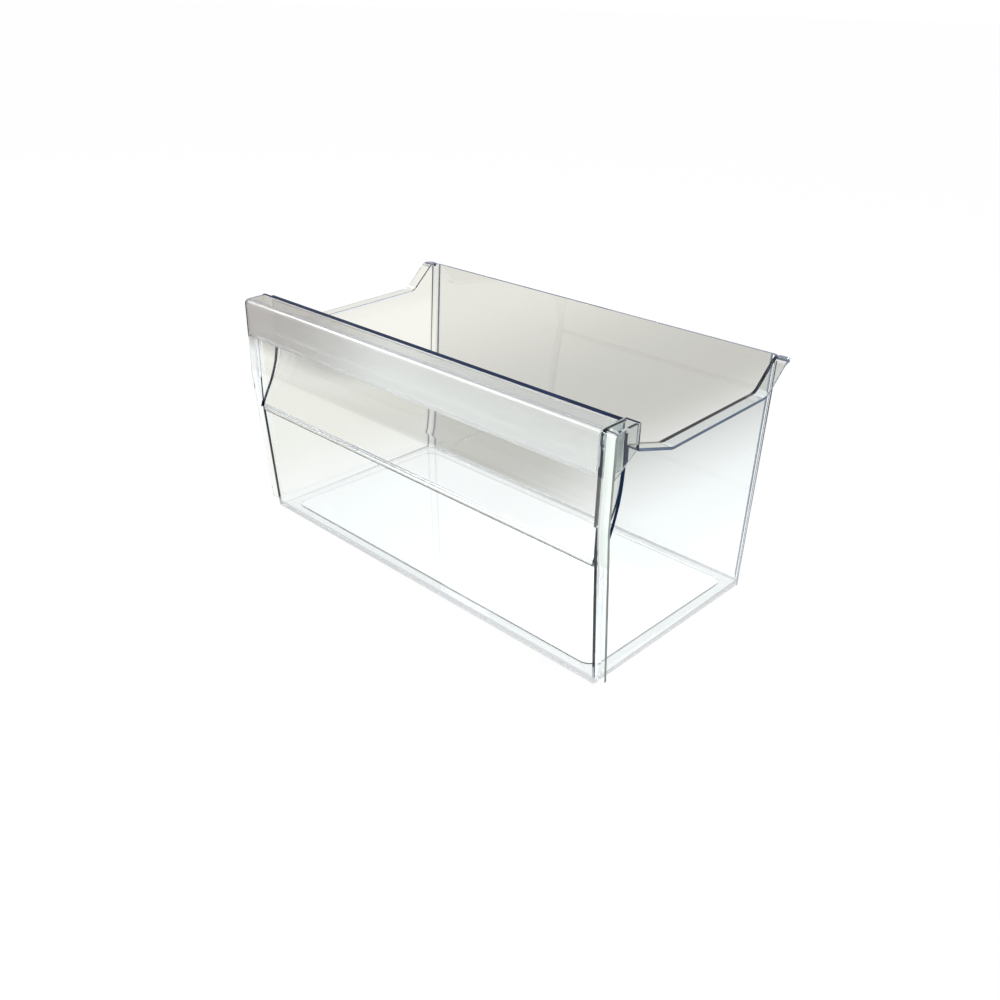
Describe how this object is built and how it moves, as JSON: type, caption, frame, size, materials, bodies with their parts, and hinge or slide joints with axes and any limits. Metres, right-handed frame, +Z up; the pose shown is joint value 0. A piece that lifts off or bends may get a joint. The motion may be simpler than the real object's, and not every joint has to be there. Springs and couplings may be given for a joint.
{
  "type": "refrigerator drawer",
  "caption": "Clear moulded drawer with a leaning front wall, a curved handle recess under an open handle rail, and outward side rims that slide on the compartment ledges.",
  "frame": {"origin": "centre of the drawer's bounding box in plan, on the surface it stands on", "axes": "+X to the right along the front and the handle rail, +Y to the back, +Z up"},
  "size_m": [0.43, 0.2294, 0.214],
  "materials": {
    "tray_clear": "clear polystyrene, gloss, as moulded",
    "panel_clear": "clear polystyrene, gloss, as moulded",
    "rail_frosted": "clear polystyrene with a lightly frosted inside",
    "cheek_clear": "clear polystyrene, gloss, as moulded"
  },
  "bodies": {
    "root": {"tray": "tray_clear", "front_panel": "panel_clear", "handle_rail": "rail_frosted", "left_end_cheek": "cheek_clear", "right_end_cheek": "cheek_clear"}
  },
  "joints": []
}
